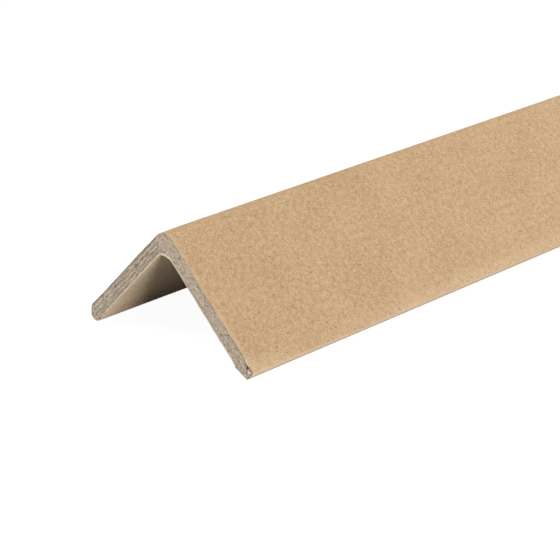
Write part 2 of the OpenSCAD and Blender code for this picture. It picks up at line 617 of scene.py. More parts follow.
class NodeBench:
    """Short calls for the nodes of one material or world."""

    # Share of a dot that has its full colour, and how softly the cells that have a dot are chosen
    dot_core: float = 0.4
    dot_choice: float = 0.04
    # Range in which nearly all of a noise lies
    usual_noise: tuple[float, float] = (0.3, 0.7)
    # Numbers of the mix node's sockets for colours: the factor and the two colours, and the result
    mix_inputs: tuple[int, int, int] = (0, 6, 7)
    mix_output: int = 2

    def __init__(self, owner: bpy.types.Material | bpy.types.World) -> None:
        """Starts with an empty node tree.

        Args:
            owner: the material or world.
        """
        owner.use_nodes = True
        self.owner = owner
        self.tree = owner.node_tree
        self.tree.nodes.clear()

    def node(self, kind: str, inputs: dict[Any, Any], **settings: Any) -> bpy.types.Node:
        """Adds a node.

        Args:
            kind: Blender's name for the node.
            inputs: a socket to link, or a constant, for each input by name or number.
            settings: the node's own settings.

        Returns:
            The node.
        """
        made = self.tree.nodes.new(kind)
        for name, value in settings.items():
            setattr(made, name, value)
        for name, value in inputs.items():
            if isinstance(value, bpy.types.NodeSocket):
                self.tree.links.new(value, made.inputs[name])
            else:
                made.inputs[name].default_value = value
        return made

    def map_of(self, name: str) -> Socket:
        """Place on one of the piece's maps."""
        return self.node("ShaderNodeUVMap", {}, uv_map=name).outputs["UV"]

    def tone(self) -> Socket:
        """The tone that the piece's points carry."""
        return self.node("ShaderNodeAttribute", {}, attribute_name=TONE).outputs["Fac"]

    def stretched(self, place: Socket, scale: tuple[float, float], turn_deg: float) -> Socket:
        """Turns and scales a place on a map, for patterns that run one way.

        Args:
            place: the place on the map.
            scale: factors along the two turned directions.
            turn_deg: turn in degrees.

        Returns:
            The new place.
        """
        turned = self.node("ShaderNodeMapping", {
            "Vector": place,
            "Rotation": (0.0, 0.0, math.radians(turn_deg)),
        }).outputs["Vector"]
        return self.node("ShaderNodeMapping", {"Vector": turned, "Scale": (*scale, 1.0)}).outputs["Vector"]

    def noises(self, place: Socket, layers: tuple[Layer, ...]) -> dict[Layer, Socket]:
        """Lays several layers of soft noise, from 0 to 1 round 0.5.

        Args:
            place: the place on the map.
            layers: the layers.

        Returns:
            The noise of each layer.
        """
        made = {}
        for layer in layers:
            made[layer] = self.node("ShaderNodeTexNoise", {
                "Vector": self.stretched(place, layer.blots, layer.turn_deg),
                "Scale": 1.0,
                "Detail": layer.detail,
                "Roughness": layer.rough,
            }, noise_dimensions="2D").outputs["Fac"]
        return made

    def flecks(self, place: Socket, kind: Fleck) -> Socket:
        """Scatters dots: the kind's strength in the middle of a dot and 0 off it.

        Args:
            place: the place on the map.
            kind: the kind of fleck.

        Returns:
            The dots.
        """
        cells = self.node("ShaderNodeTexVoronoi", {
            "Vector": self.stretched(place, kind.stretch, kind.turn_deg), "Scale": kind.cells,
        }, voronoi_dimensions="2D")
        chosen = self.remap(cells.outputs["Color"], kind.share, kind.share - self.dot_choice)
        dots = self.remap(cells.outputs["Distance"], kind.size, kind.size * self.dot_core)
        return self.math("MULTIPLY", self.math("MULTIPLY", dots, chosen), kind.strength)

    def remap(self, value: Socket, low: float, high: float, to_low: float = 0.0,
              to_high: float = 1.0) -> Socket:
        """Maps a range of values onto another and keeps the result inside it.

        Args:
            value: the value.
            low: value that gives to_low.
            high: value that gives to_high.
            to_low: result at low.
            to_high: result at high.

        Returns:
            The result.
        """
        return self.node("ShaderNodeMapRange", {
            "Value": value, "From Min": low, "From Max": high, "To Min": to_low, "To Max": to_high,
        }).outputs["Result"]

    def math(self, operation: str, *values: Socket | float) -> Socket:
        """Result of a sum on two or three values."""
        return self.node("ShaderNodeMath", dict(enumerate(values)), operation=operation).outputs["Value"]

    def mottle(self, noises: dict[Layer, Socket], middle: float) -> Socket:
        """Adds up the swings of some layers of noise."""
        return self._weighted([(noise, layer.swing) for layer, noise in noises.items()], middle)

    def height(self, noises: dict[Layer, Socket]) -> Socket:
        """Adds up the reliefs of some layers of noise."""
        return self._weighted([(noise, layer.relief) for layer, noise in noises.items() if layer.relief])

    def _weighted(self, parts: list[tuple[Socket, float]], middle: float = 0.5) -> Socket:
        """Adds up noises, each round 0.5, as swings about a middle.

        Args:
            parts: each noise with the swing that it gives from 0 to 1.
            middle: the value where every noise is at 0.5.

        Returns:
            The sum.
        """
        total: Socket | float = middle - sum(swing for _, swing in parts) / 2
        for noise, swing in parts:
            total = self.math("MULTIPLY_ADD", noise, swing, total)
        return total

    def colour(self, factor: Socket, low: Socket | Rgba, high: Socket | Rgba) -> Socket:
        """Lays one colour over another.

        Args:
            factor: share of the upper colour.
            low: the lower colour.
            high: the upper colour.

        Returns:
            The colour.
        """
        inputs = dict(zip(self.mix_inputs, (factor, low, high)))
        return self.node("ShaderNodeMix", inputs, data_type="RGBA").outputs[self.mix_output]

    def paper(self, colour: Socket, fuzz: Socket, roughness: tuple[float, float], height: Socket,
              depth: float, gloss: float) -> None:
        """Ends the material as matt paper.

        Args:
            colour: its colour.
            fuzz: noise that its roughness follows.
            roughness: its least and its greatest roughness.
            height: its relief from 0 to 1.
            depth: depth of the relief in metres.
            gloss: strength of its reflections, from 0 to 1.
        """
        bump = self.node("ShaderNodeBump", {"Height": height, "Distance": depth, "Strength": 1.0})
        shader = self.node("ShaderNodeBsdfPrincipled", {
            "Base Color": colour,
            "Roughness": self.remap(fuzz, *self.usual_noise, *roughness),
            "Specular IOR Level": gloss,
            "Normal": bump.outputs["Normal"],
        })
        self.node("ShaderNodeOutputMaterial", {"Surface": shader.outputs["BSDF"]})


@dataclass(frozen=True)
class KraftFinish:
    """Brown kraft paper: felted fibres, soft clouds, bark specks and a few pale fibres.

    A tone of the piece near 1 brings in the pale colour of torn fibres, which on the cover's right leg also
    stands for painted light; one near 0 keeps a share of its colour and a share of its brightness, which
    gives the cover's margins a paler, greyer look and paints shade on the liner.
    """

    name: str
    dark: Rgba
    pale: Rgba
    speck: Rgba = srgb(114, 76, 40)
    fibre: Rgba = srgb(236, 212, 180)
    margin_and_shade: tuple[float, float] = (0.7, 1.22)
    cloud: Layer = Layer((0.06, 0.06), 0.24, detail=3.0)
    blotch: Layer = Layer((0.6, 0.6), 0.58)
    felt: Layer = Layer((1.6, 1.6), 0.96, 0.6, detail=2.0)
    slant: Layer = Layer((3.2, 1.1), 0.48, 0.4, turn_deg=24.0)
    cross: Layer = Layer((3.2, 1.1), 0.48, 0.4, turn_deg=-31.0)
    specks: tuple[Fleck, ...] = (
        Fleck((1.0, 0.7), 17.0, 0.55, 0.17, 0.2, 0.7),
        Fleck((2.6, 0.6), 62.0, 0.5, 0.15, 0.18, 0.55),
        Fleck((2.6, 0.6), -20.0, 0.45, 0.15, 0.18, 0.55),
        Fleck((1.0, 1.0), 0.0, 1.3, 0.2, 0.18, 0.36),
    )
    fibres: tuple[Fleck, ...] = (
        Fleck((1.9, 0.5), 38.0, 0.6, 0.13, 0.25, 0.4),
        Fleck((1.2, 1.0), 5.0, 0.9, 0.16, 0.25, 0.4),
    )
    depth: float = 0.015 * MM
    roughness: tuple[float, float] = (0.84, 0.94)
    gloss: float = 0.22

    def material(self) -> bpy.types.Material:
        """Makes the material.

        Returns:
            The material.
        """
        bench = NodeBench(bpy.data.materials.new(self.name))
        sheet = bench.map_of(PATTERN_MAP)
        noises = bench.noises(sheet, (self.cloud, self.blotch, self.felt, self.slant, self.cross))
        tone = bench.tone()
        # Below the plain tone: paler, greyer margins on the cover and painted shade on the liner
        saturation, value = (bench.remap(tone, 0.0, PLAIN, left, 1.0) for left in self.margin_and_shade)
        colour = bench.node("ShaderNodeHueSaturation", {
            "Color": bench.colour(bench.mottle(noises, PLAIN), self.dark, self.pale),
            "Saturation": saturation,
            "Value": value,
        }).outputs["Color"]
        colour = bench.colour(bench.remap(tone, PLAIN, 1.0), colour, self.fibre)
        for tint, kinds in ((self.speck, self.specks), (self.fibre, self.fibres)):
            for kind in kinds:
                colour = bench.colour(bench.flecks(sheet, kind), colour, tint)
        fuzz, height = noises[self.felt], bench.height(noises)
        bench.paper(colour, fuzz, self.roughness, height, self.depth, self.gloss)
        return bench.owner


# Short fibres of cut board, which show more in some finishes than in others
FLUFF = Layer((3.0, 3.0), 0.5, 0.6, detail=3.0, rough=0.7)


@dataclass(frozen=True)
class PlyFinish:
    """Cut cardboard: grey-brown fibre, pale where it stands proud and dark in the gaps.

    A tone of the piece near 0 gives the dark colour, one near 0.5 the middle one and one near 1 the pale one.
    """

    name: str
    dark: Rgba
    middle: Rgba
    pale: Rgba
    streak: Layer = Layer((0.7, 4.0), 0.3, 0.7, detail=3.0, rough=0.6)
    fluff: Layer = FLUFF
    crumbs: Fleck = Fleck((0.9, 1.5), 0.0, 1.3, 0.25, 0.3, 0.35)
    depth: float = 0.03 * MM
    roughness: tuple[float, float] = (0.9, 1.0)
    gloss: float = 0.12

    def material(self) -> bpy.types.Material:
        """Makes the material.

        Returns:
            The material.
        """
        bench = NodeBench(bpy.data.materials.new(self.name))
        cut = bench.map_of(PATTERN_MAP)
        noises = bench.noises(cut, (self.streak, self.fluff))
        level = bench.math("ADD", bench.tone(), bench.mottle(noises, 0.0))
        low = bench.colour(bench.remap(level, 0.0, PLAIN), self.dark, self.middle)
        body = bench.colour(bench.remap(level, PLAIN, 1.0), low, self.pale)
        colour = bench.colour(bench.flecks(cut, self.crumbs), body, self.dark)
        fuzz, height = noises[self.fluff], bench.height(noises)
        bench.paper(colour, fuzz, self.roughness, height, self.depth, self.gloss)
        return bench.owner


KRAFT = KraftFinish("kraft_paper", srgb(163, 128, 86), srgb(212, 183, 146))
# The liner keeps its colour and 0.87 of its brightness at the lowest tone: painted shade
LINER = KraftFinish("liner_paper", srgb(189, 166, 136), srgb(237, 213, 182), margin_and_shade=(1.0, 0.87))
CUT_KRAFT = PlyFinish("cut_kraft", srgb(100, 90, 76), srgb(185, 170, 148), srgb(246, 228, 204))
CUT_LINER = PlyFinish("cut_liner", srgb(108, 97, 82), srgb(191, 178, 158), srgb(241, 228, 206))
PLIES = PlyFinish("cut_plies", srgb(92, 76, 58), srgb(200, 184, 162), srgb(240, 228, 208),
                  fluff=replace(FLUFF, swing=0.8))
FLAP = PlyFinish("torn_paper", srgb(150, 120, 86), srgb(230, 212, 182), srgb(247, 235, 212),
                 fluff=replace(FLUFF, swing=0.3))


@dataclass
class FoldedSheet:
    """A thin sheet of paper laid over the board, from one cut end to the other.

    Each noise of the sheet has a seed of its own, counted up from the sheet's seed.
    """

    section: BoardSection
    name: str
    seed: int
    face: KraftFinish
    edge: PlyFinish
    row_step: float = 5.0 * MM
    end_rows: tuple[float, ...] = (0.0, 0.15 * MM, 0.35 * MM, 0.6 * MM, 1.0 * MM, 1.8 * MM, 3.2 * MM)
    # How far the cut edge lies behind the board's end, how much that wanders, and how soon it is evened out
    set_back: float = 0.08 * MM
    ragged: float = 0.06 * MM
    end_fade: float = 2.0 * MM
    # Lengths of the coarse and of the fine waves in the cut edge, and the share of the coarse ones
    coarse_w: float = 3.0 * MM
    fine_w: float = 0.7 * MM
    coarse_share: float = 0.6
    # The sheet thins towards its left and its right edge: over what distance, and what share of it is left
    feather_w: tuple[float, float] = (2.0 * MM, 0.7 * MM)
    feather_share: float = 0.3
    layout: SheetLayout = SheetLayout(
        (MapBox(0.005, 0.02, 0.465, 0.995), MapBox(0.475, 0.02, 0.935, 0.995)),
        MapBox(0.945, 0.5, 0.965, 0.995),
        (MapBox(0.005, 0.003, 0.465, 0.009), MapBox(0.475, 0.003, 0.935, 0.009),
         MapBox(0.975, 0.02, 0.98, 0.995), MapBox(0.985, 0.02, 0.99, 0.995)),
    )

    def path(self) -> FoldedPath:
        """Path of the sheet's open side across the board."""
        raise NotImplementedError

    def inwards(self) -> float:
        """How far the glued side lies to the right of the path."""
        raise NotImplementedError

    def cut_line(self, line: LegLine, end: CutEnd) -> np.ndarray:
        """How far the cut edge lies behind the end of the board.

        Args:
            line: the line of the sheet.
            end: the cut end.

        Returns:
            The distance at each point of the line.
        """
        coarse = Grain(self.seed, self.coarse_w).at(line.way, 0.0, end)
        fine = Grain(self.seed + 1, self.fine_w).at(line.way, 0.0, end)
        waves = self.coarse_share * coarse + (1.0 - self.coarse_share) * fine
        return self.set_back + self.ragged * waves

    def rim_tones(self, line: LegLine, end: CutEnd) -> tuple[np.ndarray, np.ndarray]:
        """Tones of the cut edge.

        Args:
            line: the line of the sheet.
            end: the cut end.

        Returns:
            The tone at the open side and at the glued side, for each point of the line.
        """
        raise NotImplementedError

    def face_tone(self, line: LegLine, back: np.ndarray) -> np.ndarray:
        """Tones of the sheet's face.

        Args:
            line: the line of the sheet.
            back: distance of each row of points from the nearer cut end.

        Returns:
            The tone for each point of the line, in each row.
        """
        raise NotImplementedError

    def raised(self, line: LegLine, back: np.ndarray) -> np.ndarray:
        """How far the sheet stands off the board near its near cut end.

        Args:
            line: the line of the sheet.
            back: distance of each row of points from the near cut end.

        Returns:
            The distance for each point of the line, in each row.
        """
        raise NotImplementedError

    def rows(self, low: float, high: float) -> np.ndarray:
        """Places of the rows of points along the board, closer together near its ends.

        Args:
            low: place of the near cut end.
            high: place of the far cut end.

        Returns:
            The places from near to far.
        """
        ends = np.array(self.end_rows)
        count = round((high - low) / self.row_step) - 1
        between = np.linspace(low + self.row_step, high - self.row_step, count)
        return np.concatenate([low + ends, between, (high - ends)[::-1]])

    def build(self) -> bpy.types.Object:
        """Builds and dresses the sheet.

        Returns:
            The piece.
        """
        low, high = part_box(NODE)
        outside, inside = self.path().points(), self.path().points(self.inwards())
        line = LegLine.through(outside)
        outwards = outside - inside
        outwards /= np.linalg.norm(outwards, axis=1)[:, None]
        whole = smooth_step(0.0, self.feather_w[0], line.way)
        whole *= smooth_step(0.0, self.feather_w[1], line.way[-1] - line.way)
        share = self.feather_share + (1 - self.feather_share) * whole
        outside = inside + (outside - inside) * share[:, None]
        along = self.rows(low[1], high[1])
        from_near, from_far = along - low[1], high[1] - along
        near = self.cut_line(line, CutEnd.NEAR)[:, None] * np.exp(-from_near / self.end_fade)[None, :]
        far = self.cut_line(line, CutEnd.FAR)[:, None] * np.exp(-from_far / self.end_fade)[None, :]
        y = along[None, :] + near - far
        shift = self.raised(line, from_near)[..., None] * outwards[:, None, :]
        tone = self.face_tone(line, np.minimum(from_near, from_far))
        open_tone, glued_tone = tone.copy(), tone.copy()
        for end, row in ((CutEnd.NEAR, 0), (CutEnd.FAR, -1)):
            open_tone[:, row], glued_tone[:, row] = self.rim_tones(line, end)
        piece = QuadPiece(self.name)
        shown = piece.points(self.section.stand(outside[:, None, :] + shift, y), open_tone)
        hidden = piece.points(self.section.stand(inside[:, None, :] + shift, y), glued_tone)
        piece.sheet(shown, hidden, line.way, along, abs(self.inwards()), self.layout, rim_finish=1)
        return piece.make([self.face.material(), self.edge.material()])


@dataclass(frozen=True)
class Lift:
    """A stretch of the cover's near cut edge that has come away from the plies of the right leg."""

    reach: float = 46.8 * MM
    half_w: float = 1.3 * MM
    height: float = 0.05 * MM
    fade: float = 2.5 * MM

    def share(self, line: LegLine, section: BoardSection) -> np.ndarray:
        """Share of the full lift at each point of a line of the cover."""
        hump = np.clip(1.0 - ((line.reach - self.reach) / self.half_w) ** 2, 0.0, 1.0)
        return hump * (1.0 - line.inner(section))


@dataclass
class KraftCover(FoldedSheet):
    """The kraft cover: round the outer faces and both tips, with a margin on each inner face."""

    name: str = "kraft_cover"
    seed: int = 100
    face: KraftFinish = KRAFT
    edge: PlyFinish = CUT_KRAFT
    lift: Lift = Lift()
    # Tones of the cut edge, at its open and its glued side, on the right leg, on the left leg's outer face,
    # where
    #     # their darkness is painted shade, at the tips and where the cover is lifted; the change from right
    #     to left; and how the tones wander
    right_tones: tuple[float, float] = (0.42, 0.5)
    left_tones: tuple[float, float] = (0.16, 0.26)
    tip_tones: tuple[float, float] = (0.45, 0.4)
    lift_tone: float = 1.0
    left_shade_from: tuple[float, float] = (-1.5 * MM, -5.0 * MM)
    wander: float = 0.18
    wander_w: float = 1.4 * MM
    # Where a tip starts and where it is reached, past the end of the outer face
    tip_starts: tuple[float, float] = (-0.3 * MM, 0.5 * MM)
    # Tone of the margins, which turns them paler and greyer than the face
    margin_tone: float = 0.0
    # Painted light: the right leg's face is paler above its tip, more so far from the cut ends and right at
    # them
    lit_band_tone: float = 0.59
    lit_band_w: float = 6.5 * MM
    light_grows: tuple[float, float] = (20.0 * MM, 85.0 * MM)
    light_at_ends: tuple[float, float] = (22.0 * MM, 8.0 * MM)
    # Tone of the painted light on the right tip's downward face, and the depths, in radii of the tip's round,
    # over which it sets in
    tip_light_tone: float = 0.92
    tip_light_depths: tuple[float, float] = (0.05, 1.3)
    # The cut leaves a patchy burr on the right leg's face: its tone, where it ends and where it is full, the
    # length of the patches, and how much they vary
    burr_tone: float = 0.64
    burr_w: tuple[float, float] = (1.8 * MM, 0.72 * MM)
    burr_patch: float = 5.0 * MM
    burr_swing: float = 0.4
    # How much further back the cut lies on the left leg's outer face
    left_set_back: float = 0.16 * MM

    def path(self) -> FoldedPath:
        """Path of the cover's outside."""
        return self.section.wrap()

    def inwards(self) -> float:
        """The cover's glued side lies to the right of its path."""
        return self.section.cover_t

    def _at_tips(self, line: LegLine) -> np.ndarray:
        """Tells the tips and the margins from the outer faces.

        Args:
            line: the line of the cover.

        Returns:
            1 at both tips and on the margins, and 0 on the outer faces.
        """
        form = self.section
        face_end = np.where(line.reach < 0, form.left_leg - form.left_bevel_run,
                            form.right_leg - form.right_round_r)
        tips = smooth_step(*self.tip_starts, np.abs(line.reach) - face_end)
        return np.maximum(tips, line.inner(form))

    def cut_line(self, line: LegLine, end: CutEnd) -> np.ndarray:
        """The plain cut line, further back on the left leg's outer face."""
        further = self.left_set_back * line.on_left(self.section.nose_r) * (1.0 - self._at_tips(line))
        return super().cut_line(line, end) + further

    def rim_tones(self, line: LegLine, end: CutEnd) -> tuple[np.ndarray, np.ndarray]:
        """Tones of the cut edge, which is painted dark as shade on the left leg's outer face and pale where
        it is lifted.

        Args:
            line: the line of the cover.
            end: the cut end.

        Returns:
            The tone at the open side and at the glued side, for each point of the line.
        """
        on_left, tips = smooth_step(*self.left_shade_from, line.reach), self._at_tips(line)
        lifted = self.lift.share(line, self.section) * (end is CutEnd.NEAR)
        swing = self.wander * Grain(self.seed + 2, self.wander_w).at(line.way, 0.0, end)
        tones = []
        # On the left leg's outer face the cut edge's dark tones are painted shade
        for right, left, tip in zip(self.right_tones, self.left_tones, self.tip_tones):
            tone = (right + (left - right) * on_left) * (1 - tips) + tip * tips + swing
            tones.append(np.clip(tone + (self.lift_tone - tone) * np.sqrt(lifted), 0.0, 1.0))
        return tones[0], tones[1]

    def face_tone(self, line: LegLine, back: np.ndarray) -> np.ndarray:
        """Tones of the cover: paler, greyer margins, and on the right leg painted light above its tip and on
        the tip's face, and burrs.

        Args:
            line: the line of the cover.
            back: distance of each row of points from the nearer cut end.

        Returns:
            The tone for each point of the line, in each row.
        """
        inner, tips = line.inner(self.section), self._at_tips(line)
        on_right = 1.0 - line.on_left(self.section.nose_r)
        leg = self.section.right_leg
        near_tip = smooth_step(leg - self.lit_band_w, leg, line.reach) * (1.0 - inner)
        on_tip_face = smooth_step(*self.tip_light_depths, line.depth / self.section.right_round_r)
        margin = (self.margin_tone - PLAIN) * inner
        # Painted light on the right tip's downward face
        rim = (self.tip_light_tone - PLAIN) * near_tip * on_tip_face
        # Painted light: the face is paler above the right tip
        lit_band = (self.lit_band_tone - PLAIN) * near_tip * (1.0 - on_tip_face)
        patches = Grain(self.seed + 3, self.burr_patch).at(line.way, 0.0)
        patchy = 1.0 - self.burr_swing + self.burr_swing * patches
        burr = (self.burr_tone - PLAIN) * on_right * (1.0 - tips) * patchy
        lit_along = np.maximum(smooth_step(*self.light_grows, back), smooth_step(*self.light_at_ends, back))
        cut = smooth_step(*self.burr_w, back)
        return PLAIN + (margin + rim)[:, None] + lit_band[:, None] * lit_along + burr[:, None] * cut

    def raised(self, line: LegLine, back: np.ndarray) -> np.ndarray:
        """Lifted beside the hole at the near right tip."""
        lifted = self.lift.height * self.lift.share(line, self.section)
        return lifted[:, None] * bell(back, self.lift.fade)


@dataclass
class InnerLiner(FoldedSheet):
    """The paler liner in the hollow, with its edges under the cover's margins."""

    name: str = "inner_liner"
    seed: int = 200
    face: KraftFinish = LINER
    edge: PlyFinish = CUT_LINER
    # Tones of the cut edge, at its open and its glued side, on the left leg, at the lip beside the fold and
    # along the right leg; how the tones wander; and the share of that which is missing at the lip
    left_tones: tuple[float, float] = (0.85, 0.5)
    lip_tones: tuple[float, float] = (1.0, 0.8)
    right_tones: tuple[float, float] = (0.66, 0.45)
    wander: float = 0.2
    wander_w: float = 1.1 * MM
    lip_calm: float = 0.5
    # Painted shade halfway along the left leg's face in the hollow: where it sets in, from the tip's side and
    # from the fold's
    shade_from_tip: tuple[float, float] = (-40.0 * MM, -30.0 * MM)
    shade_from_fold: tuple[float, float] = (-13.0 * MM, -22.0 * MM)
    # The lip: where it ends on the right leg, how far it stands off the plies, and how far it goes in
    lip_ends: tuple[float, float] = (15.0 * MM, 7.5 * MM)
    lip_height: float = 0.12 * MM
    lip_depth: float = 3.0 * MM
    # How far the frayed edge stands off, over what depth, and how long its waves are
    fray: float = 0.1 * MM
    fray_depth: float = 0.5 * MM
    fray_w: float = 0.9 * MM
    # Where the liner goes under the cover's margins and lies flat, on the left leg and on the right one
    tucked_left: tuple[float, float] = (-43.0 * MM, -44.0 * MM)
    tucked_right: tuple[float, float] = (44.0 * MM, 44.8 * MM)

    def path(self) -> FoldedPath:
        """Path of the liner's open side."""
        return self.section.hollow()

    def inwards(self) -> float:
        """The liner's glued side lies to the left of its path."""
        return -self.section.cover_t

    def _at_lip(self, line: LegLine) -> np.ndarray:
        """1 on the lip beside the fold and 0 elsewhere."""
        start = self.section.board_t
        return smooth_step(-start, start, line.reach) * smooth_step(*self.lip_ends, line.reach)

    def rim_tones(self, line: LegLine, end: CutEnd) -> tuple[np.ndarray, np.ndarray]:
        """Tones of the cut edge: pale on the left leg, palest at the lip and greyer on the right leg.

        Args:
            line: the line of the liner.
            end: the cut end.

        Returns:
            The tone at the open side and at the glued side, for each point of the line.
        """
        on_left, lip = line.on_left(self.section.board_t), self._at_lip(line)
        swing = self.wander * Grain(self.seed + 2, self.wander_w).at(line.way, 0.0, end)
        tones = []
        for left, at_lip, right in zip(self.left_tones, self.lip_tones, self.right_tones):
            tone = (right + (left - right) * on_left) * (1 - lip) + at_lip * lip
            tones.append(np.clip(tone + swing * (1.0 - self.lip_calm * lip), 0.0, 1.0))
        return tones[0], tones[1]

    def face_tone(self, line: LegLine, back: np.ndarray) -> np.ndarray:
        """Plain, with painted shade halfway along the left leg."""
        # Painted shade: the left leg's face in the hollow is darker halfway along
        painted_shade = smooth_step(*self.shade_from_tip, line.reach) * smooth_step(*self.shade_from_fold, line.reach)
        return np.repeat(PLAIN * (1.0 - painted_shade)[:, None], len(back), axis=1)

    def raised(self, line: LegLine, back: np.ndarray) -> np.ndarray:
        """Raises the lip and frays the rest of the cut edge, as far as the cover's margins leave it loose.

        Args:
            line: the line of the liner.
            back: distance of each row of points from the near cut end.

        Returns:
            How far each point of the line stands off the plies, in each row.
        """
        tucked = [smooth_step(*reaches, line.reach) for reaches in (self.tucked_left, self.tucked_right)]
        lip = self.lip_height * self._at_lip(line)
        frayed = self.fray * Grain(self.seed + 3, self.fray_w).at(line.way, 0.0)
        off = lip[:, None] * bell(back, self.lip_depth) + frayed[:, None] * bell(back, self.fray_depth)
        return off * (1.0 - np.maximum(*tucked))[:, None]


@dataclass(frozen=True)
class Mark:
    """An oval mark on a cut end. Some marks are wear; in the recesses the darker tone is painted shade.

    Its place is the reach along the right leg and the depth through the board. The rim is where the mark
    ends and where it is full, in shares of its radii.
    """

    at: tuple[float, float]
    radii: tuple[float, float]
    cut: float
    tone: float
    rim: tuple[float, float] = (1.2, 0.75)

    def share(self, reach: np.ndarray, depth: np.ndarray) -> np.ndarray:
        """1 inside the mark and 0 outside it."""
        far = np.hypot((reach - self.at[0]) / self.radii[0], (depth - self.at[1]) / self.radii[1])
        return smooth_step(*self.rim, far)


@dataclass(frozen=True)
class WearAndShade:
    """Wear on a cut end, and painted shade in its recesses: marks, one after the other."""

    marks: tuple[Mark, ...]

    def carve(self, reach: np.ndarray, depth: np.ndarray, back: np.ndarray,
              tone: np.ndarray) -> tuple[np.ndarray, np.ndarray]:
        """Carves the marks into a cut end and tones them; in the recesses the darker tones are painted shade.

        Args:
            reach: reach of each point along its leg.
            depth: depth of each point through the board.
            back: how far each point lies behind the end.
            tone: tone of each point.

        Returns:
            The new distances and tones.
        """
        cut = np.zeros_like(back)
        for mark in self.marks:
            share = mark.share(reach, depth)
            cut = np.maximum(cut, mark.cut * share)
            tone = tone + (mark.tone - tone) * share
        return back + cut, tone


NEAR_WEAR_AND_SHADE = WearAndShade((
    # Pale fibres under the lifted cover, and brown paper round the torn flap
    Mark((46.8 * MM, 0.5 * MM), (0.75 * MM, 0.26 * MM), 0.0, 0.85),
    Mark((49.2 * MM, 0.75 * MM), (0.95 * MM, 0.34 * MM), 0.05 * MM, 0.34),
    # The pocket round the torn flap, darkened with painted shade
    Mark((49.3 * MM, 1.55 * MM), (0.62 * MM, 0.62 * MM), 1.6 * MM, 0.3),
    # The crack that leads to the hole, the hole's tail and the hole, darkened with painted shade
    Mark((46.7 * MM, 0.92 * MM), (0.9 * MM, 0.15 * MM), 0.4 * MM, 0.2),
    Mark((47.85 * MM, 1.5 * MM), (0.2 * MM, 0.42 * MM), 0.8 * MM, 0.12),
    Mark((47.92 * MM, 0.98 * MM), (0.36 * MM, 0.36 * MM), 4.0 * MM, 0.0),
    # Pits along the right leg, and the notch over the liner at the fold, darkened with painted shade
    Mark((44.75 * MM, 2.75 * MM), (0.5 * MM, 0.26 * MM), 0.3 * MM, 0.24),
    Mark((41.75 * MM, 1.1 * MM), (0.45 * MM, 0.26 * MM), 0.15 * MM, 0.4),
    Mark((40.5 * MM, 4.4 * MM), (0.4 * MM, 0.22 * MM), 0.15 * MM, 0.38),
    Mark((-0.6 * MM, 4.3 * MM), (0.8 * MM, 0.2 * MM), 0.25 * MM, 0.12),
))


